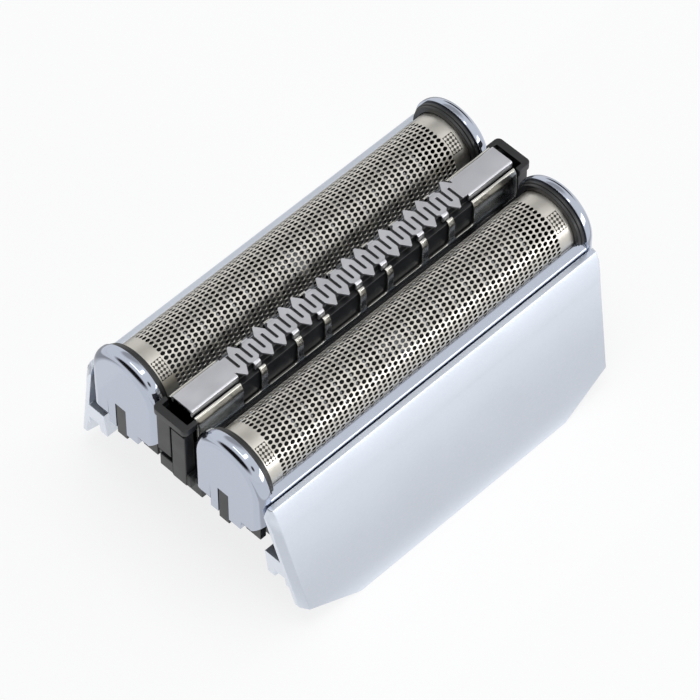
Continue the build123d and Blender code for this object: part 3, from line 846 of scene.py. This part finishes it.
# %% Walk round the comb
def comb_outline():
    """The zigzag of the comb: front edge from left to right, rear edge from right to left."""
    root = (finger_pitch - finger_slot) / 2
    corners = []
    for side in (-1, 1):
        ahead = -side
        corners.append((-ahead * comb_half, side * finger_shoulder, 0))
        for x, folded in finger_row(side):
            tip, reach = (tab_half, tab_edge - blade_sheet) if folded else (finger_tip, finger_reach)
            corners += [
                (x - ahead * root, side * finger_shoulder, root_round),
                (x - ahead * tip, side * reach, tip_round),
                (x + ahead * tip, side * reach, tip_round),
                (x + ahead * root, side * finger_shoulder, root_round),
                (x + ahead * root, -side * slot_past, slot_round),
                (x + ahead * (root + finger_slot), -side * slot_past, slot_round),
            ]
        last_slot = finger_row(side)[-1][0] + ahead * (root + finger_slot)
        corners.append((last_slot, side * end_shoulder, end_round))
        corners.append((ahead * comb_half, side * end_shoulder, 0))
    return rounded(corners)


comb_points = comb_outline()
print("comb outline:", len(comb_points), "points")

# %% The blade with its folds
fold_roll = 0.3
fold_edge = 0.1
tab_roll = 0.42
tab_root = 1.1
tab_out = 1.9
plate_overlap = 0.05
under = blade_top - blade_sheet
fold_inside = tab_edge - blade_sheet
plate_half = [
    (fold_inside, under, fold_edge), (fold_inside, fold_bottom, fold_edge),
    (tab_edge, fold_bottom, fold_edge), (tab_edge, blade_top, fold_roll),
]
plate_section = rounded(plate_half + [(-y, z, radius) for y, z, radius in plate_half[::-1]])
tab_section = rounded([
    (tab_root, under, 0), (tab_out - blade_sheet, under, 0.1), (tab_out - blade_sheet, fold_bottom, 0.05),
    (tab_out, fold_bottom, 0.08), (tab_out, blade_top, tab_roll), (tab_root, blade_top, 0),
])
folds = [along_x(plate_section, end * (comb_half - plate_overlap), end * blade_half) for end in (-1, 1)]
for side in (-1, 1):
    section = [(side * y, z) for y, z in tab_section]
    folds += [along_x(section, x - tab_half, x + tab_half) for x, folded in finger_row(side) if folded]
blade_solid = carved(along_z(comb_points, under, blade_top), joins=folds)
dress("trimmer_blade", softened(blade_solid, 0.03, sharp=40), satin_blade)

# %% [markdown]
# ## The trimmer guard
#
# The guard is a bright channel that stands still while the blade slides in it. Its rolled shoulders show
# at both ends. Between them each wall is cut away in long windows with round lower corners, which leave a
# low rail and a narrow post beside each folded tab, and show the black slider behind. All the cuts are
# gathered into one mesh, so that the channel is cut once.

# %% The channel and its cuts
guard_half_length = 27.1
guard_half_width = 2.65
guard_sheet = 0.35
shoulder_top = blade_top - 0.97
rail_top = blade_top - 4.85
post_shift = 0.4
guard_bottom = shoulder_top - 5.0
lip = 1.98
guard_inside = guard_half_width - guard_sheet
rear_rise = 0.42
window_from = 1.2
window_round = 0.5
over_all = 30
arm_gap_x = (-2.7, 2.7)
arm_gap_y = (-1.2, 1.2)


def wall_section(rise):
    """One wall of the channel, from the middle of its floor out and up to its lip."""
    top = shoulder_top + rise
    return [
        (guard_half_width, guard_bottom, 0.3), (guard_half_width, top - 0.75, 0.9),
        (guard_half_width - 0.4, top, 0.3), (lip, top, 0.05),
        (lip, top - guard_sheet, 0.05), (guard_inside, top - guard_sheet, 0.25),
        (guard_inside, guard_bottom + guard_sheet, 0.2),
    ]


front_wall = [(-y, z, radius) for y, z, radius in wall_section(0)]
channel_section = rounded(wall_section(rear_rise) + front_wall[::-1])

guard_cuts = []
for side in (-1, 1):
    reach = sorted((side * window_from, side * (guard_half_width + past)))
    tabs = [x for x, folded in finger_row(side) if folded]
    posts = sorted(x - side * post_shift * (1 - index % 2) for index, x in enumerate(tabs))
    starts = [-comb_half] + [x + tab_half for x in posts]
    stops = [x - tab_half for x in posts] + [comb_half]
    for start, stop in zip(starts, stops):
        window = rounded([
            (start, over_all, 0), (start, rail_top, window_round),
            (stop, rail_top, window_round), (stop, over_all, 0),
        ])
        guard_cuts.append(along_y(window, *reach))
print("guard windows:", len(guard_cuts))

# %% Cut the channel
arm_gap = block(arm_gap_x, arm_gap_y, (guard_bottom - past, guard_bottom + past))
channel = along_x(channel_section, -guard_half_length, guard_half_length)
guard_solid = carved(channel, cuts=[joined(guard_cuts), arm_gap])
dress("trimmer_guard", softened(guard_solid, 0.06, sharp=40), bright_guard)

# %% [markdown]
# ## Mouldings that keep their solid
#
# The carriers, the chassis, the cutter bases and the couplings have their shape already and mostly need
# only their moulded edges. Their meshes arrive as loose triangles, so a copy is welded and its flat faces
# are put together first, because a bevel needs clean edges to follow. Three kinds change a little: the
# side panels get a wider top lip with a flatter crown, each foil carrier a black collar that laps over the
# foil's ends, and the trimmer carrier deeper pockets in its caps. All three could be drawn anew, but
# moving, joining or cutting a few faces keeps every other face where its solid has it.

# %% A wider lip for the side panels
crease = Vector((17.05, 16.8)) * MM
old_lip = Vector((15.15, 21.13)) * MM
wide_lip = Vector((15.7, 21.13)) * MM
old_band = old_lip - crease
new_band = wide_lip - crease
crown_kept = 0.4


def wider_lip(mesh):
    """Move the upper band of a side panel out to a wider top lip, and make its crown flatter."""
    outward = Vector((old_band.y, -old_band.x)).normalized()
    for vertex in mesh.vertices:
        spot = Vector((abs(vertex.co.y), vertex.co.z)) - crease
        share = spot.dot(old_band) / old_band.length_squared
        bulge = spot.dot(outward)
        if bulge > -0.01 * MM and share > 0:
            moved = crease + share * new_band + crown_kept * bulge * outward
            vertex.co.y = moved.x if vertex.co.y > 0 else -moved.x
            vertex.co.z = min(moved.y, wide_lip.y)
    return mesh


print("lip moved out by", round((wide_lip.x - old_lip.x) / MM, 2), "mm")

# %% Collars for the foil carriers
collar_x = (26.0, 26.6)
collar_inside = 4.66
collar_outside = 5.4
collar_lift = 0.02


def end_collar(end, side):
    """The black half ring that a foil carrier lays over one end of its foil."""
    outer, inner = [arch(radius, foil_axis_z)[1:-1] for radius in (collar_outside, collar_inside)]
    collar = along_x(outer + inner[::-1], *[end * x for x in collar_x])
    collar.transform(Matrix.Translation(Vector((0, side * foil_axis_y, collar_lift)) * MM))
    return collar


print("collar:", round(collar_outside - collar_inside, 2), "mm high")

# %% Soften the mouldings
moulded = {
    "chassis": (black_abs, 0.12),
    "front_foil_carrier": (black_abs, 0.08),
    "rear_foil_carrier": (black_abs, 0.08),
    "trimmer_carrier": (black_abs, 0.1),
    "trimmer_slider": (black_abs, 0.1),
    "front_cutter_base": (black_abs, 0.05),
    "rear_cutter_base": (black_abs, 0.05),
    "front_drive_coupling": (grey_acetal, 0.1),
    "rear_drive_coupling": (grey_acetal, 0.1),
    "front_panel": (silver_lacquer, 0.08),
    "rear_panel": (silver_lacquer, 0.08),
}
pocket_x = (27.2, 28.34)
pocket_y = (-1.95, 1.95)
pocket_z = (23.0, 27.0)
cap_pockets = [block([end * x for x in pocket_x], pocket_y, pocket_z) for end in (-1, 1)]
for node, (material, edge) in moulded.items():
    moulding = node_copy(node)
    if node == "trimmer_carrier":
        moulding = carved(moulding, cuts=cap_pockets)
    if node.endswith("foil_carrier"):
        side = dict(sides)[node.split("_")[0]]
        moulding = carved(moulding, joins=[end_collar(end, side) for end in (-1, 1)])
    if node.endswith("panel"):
        moulding = wider_lip(moulding)
    dress(node, softened(moulding, edge), material)

# %% [markdown]
# ## The springs
#
# The leaf and coil springs flex as the foils float, so they stay the frame's own nodes and only get their
# tempered steel.

# %% Coat the springs
springs = [node for node, name in slot_of.items() if name == "spring_steel"]
for node in springs:
    frame["nodes"][node].material_slots[0].material = spring_strip
print("springs:", len(springs))

# %% [markdown]
# ## The floor
#
# The head lies on white paper. Paper that is only lit turns grey in a picture, and more light would wash
# out the metal, so the camera and reflections see it as mostly white. The rest of it is lit as paper is,
# and keeps the shadow.

# %% The paper floor
def sheet_object(name, corners, material):
    """A flat sheet through corners in millimetres."""
    mesh = bpy.data.meshes.new(name)
    mesh.from_pydata([Vector(corner) * MM for corner in corners], [], [tuple(range(len(corners)))])
    mesh.materials.append(material)
    sheet = linked(name, mesh)
    return sheet


floor_paper, floor_tree, paper_space = new_material("white_paper")
tooth = noise(floor_tree, paper_space, 2.0, detail=2.0)
paper_bump = add_node(
    floor_tree, "ShaderNodeBump", {"Height": tooth, "Strength": 0.02, "Distance": 0.05 * MM}
)
paper_shader = floor_tree.nodes["Principled BSDF"]
paper_shader.inputs["Base Color"].default_value = linear("#FBFBFB")
paper_shader.inputs["Roughness"].default_value = 0.9
floor_tree.links.new(paper_bump.outputs[0], paper_shader.inputs["Normal"])


def seen_rays(tree):
    """One for rays that come from the camera, a reflection or clear matter, and nought for the rest."""
    rays = add_node(tree, "ShaderNodeLightPath").outputs
    straight, mirrored, clear = [rays[f"Is {kind} Ray"] for kind in ("Camera", "Glossy", "Transmission")]
    seen = maths(tree, "MAXIMUM", straight, mirrored)
    return maths(tree, "MAXIMUM", seen, clear)


white_share = 0.8
lit_share = maths(floor_tree, "MULTIPLY", seen_rays(floor_tree), white_share)
paper_white = add_node(floor_tree, "ShaderNodeEmission", {"Color": (1, 1, 1, 1), "Strength": 1.0})
paper_mix = add_node(floor_tree, "ShaderNodeMixShader", {0: lit_share, 1: paper_shader, 2: paper_white})
floor_tree.links.new(paper_mix.outputs[0], floor_tree.nodes["Material Output"].inputs["Surface"])

far = 4000
sheet_object("floor", [(-far, -far, 0), (far, -far, 0), (far, far, 0), (-far, far, 0)], floor_paper)
print("floor:", 2 * far, "mm wide")

# %% [markdown]
# ## Cards for the reflections
#
# Bright metal is mostly a picture of what stands around it. A photographer sets dark cards beside it to
# give chrome its black crescents and a panel its slow gradient. These cards are seen in reflections alone.
# Each is as white as the sky at its rim and darkens to its middle, so no hard edge shows in the metal.

# %% Place the cards
def soft_card(name, middle, reach, middle_light):
    """A card round a middle, with its reach along each axis in millimetres and the light of its middle."""
    material, tree, space = new_material(name)
    centred = add_node(tree, "ShaderNodeVectorMath", {0: space, 1: Vector(middle) * MM}, operation="SUBTRACT")
    sizes = [per_metre(side) if side else 0 for side in reach]
    spread = add_node(tree, "ShaderNodeVectorMath", {0: centred, 1: sizes}, operation="MULTIPLY")
    fade = add_node(tree, "ShaderNodeTexGradient", {"Vector": spread}, gradient_type="SPHERICAL")
    level = add_node(
        tree, "ShaderNodeMapRange", {0: fade.outputs["Fac"], 1: 0.1, 2: 0.45, 3: 1.0, 4: middle_light}
    )
    glow = add_node(tree, "ShaderNodeEmission", {"Color": (1, 1, 1, 1), "Strength": level})
    tree.links.new(glow.outputs[0], tree.nodes["Material Output"].inputs["Surface"])
    first, second = [axis for axis in range(3) if reach[axis]]
    corners = []
    for along, across in ((-1, -1), (1, -1), (1, 1), (-1, 1)):
        corner = list(middle)
        corner[first] += along * reach[first]
        corner[second] += across * reach[second]
        corners.append(corner)
    card = sheet_object(name, corners, material)
    card.visible_camera = False
    card.visible_diffuse = False
    card.visible_shadow = False


soft_card("left_card", (-400, 60, 235), (0, 520, 234), 0.01)
soft_card("right_card", (400, 180, 130), (0, 300, 120), 0.05)
soft_card("front_card", (-145, -450, 385), (140, 0, 120), 0.05)
soft_card("ceiling_card", (290, 290, 500), (430, 430, 0), 0.5)
soft_card("low_card", (15, -28, 0.5), (170, 9.5, 0), 0.66)
soft_card("back_card", (20, 60, 0.5), (170, 36, 0), 0.45)

# %% [markdown]
# ## Lamps and sky
#
# Two large soft lamps stand above and in front, as softboxes do in a studio. The world is white to the
# camera and to reflections, and a softer grey to everything else, so that the colours aren't washed out.

# %% Lamps and world
def soft_lamp(name, spot, width, height, power):
    """A large soft lamp at a place in millimetres, turned to the head."""
    light = bpy.data.lights.new(name, "AREA")
    light.shape = "RECTANGLE"
    light.size = width * MM
    light.size_y = height * MM
    light.energy = power
    lamp = linked(name, light)
    stand = Vector(spot) * MM
    turn = (view_middle - stand).to_track_quat("-Z", "Y").to_matrix().to_4x4()
    lamp.matrix_world = Matrix.Translation(stand) @ turn


soft_lamp("top_lamp", (0, -50, 700), 500, 500, 2.2)
soft_lamp("front_lamp", (350, -720, 160), 600, 260, 1.5)

world = bpy.data.worlds.new("studio")
world.use_nodes = True
world_tree = world.node_tree
scene.world = world
fill = add_node(world_tree, "ShaderNodeBackground", {"Color": linear("#EEF1F6"), "Strength": 0.5})
white = add_node(world_tree, "ShaderNodeBackground", {"Color": (1, 1, 1, 1), "Strength": 1.0})
sky = add_node(world_tree, "ShaderNodeMixShader", {0: seen_rays(world_tree), 1: fill, 2: white})
world_tree.links.new(sky.outputs[0], world_tree.nodes["World Output"].inputs["Surface"])
print("lamps:", [light.name for light in bpy.data.lights])
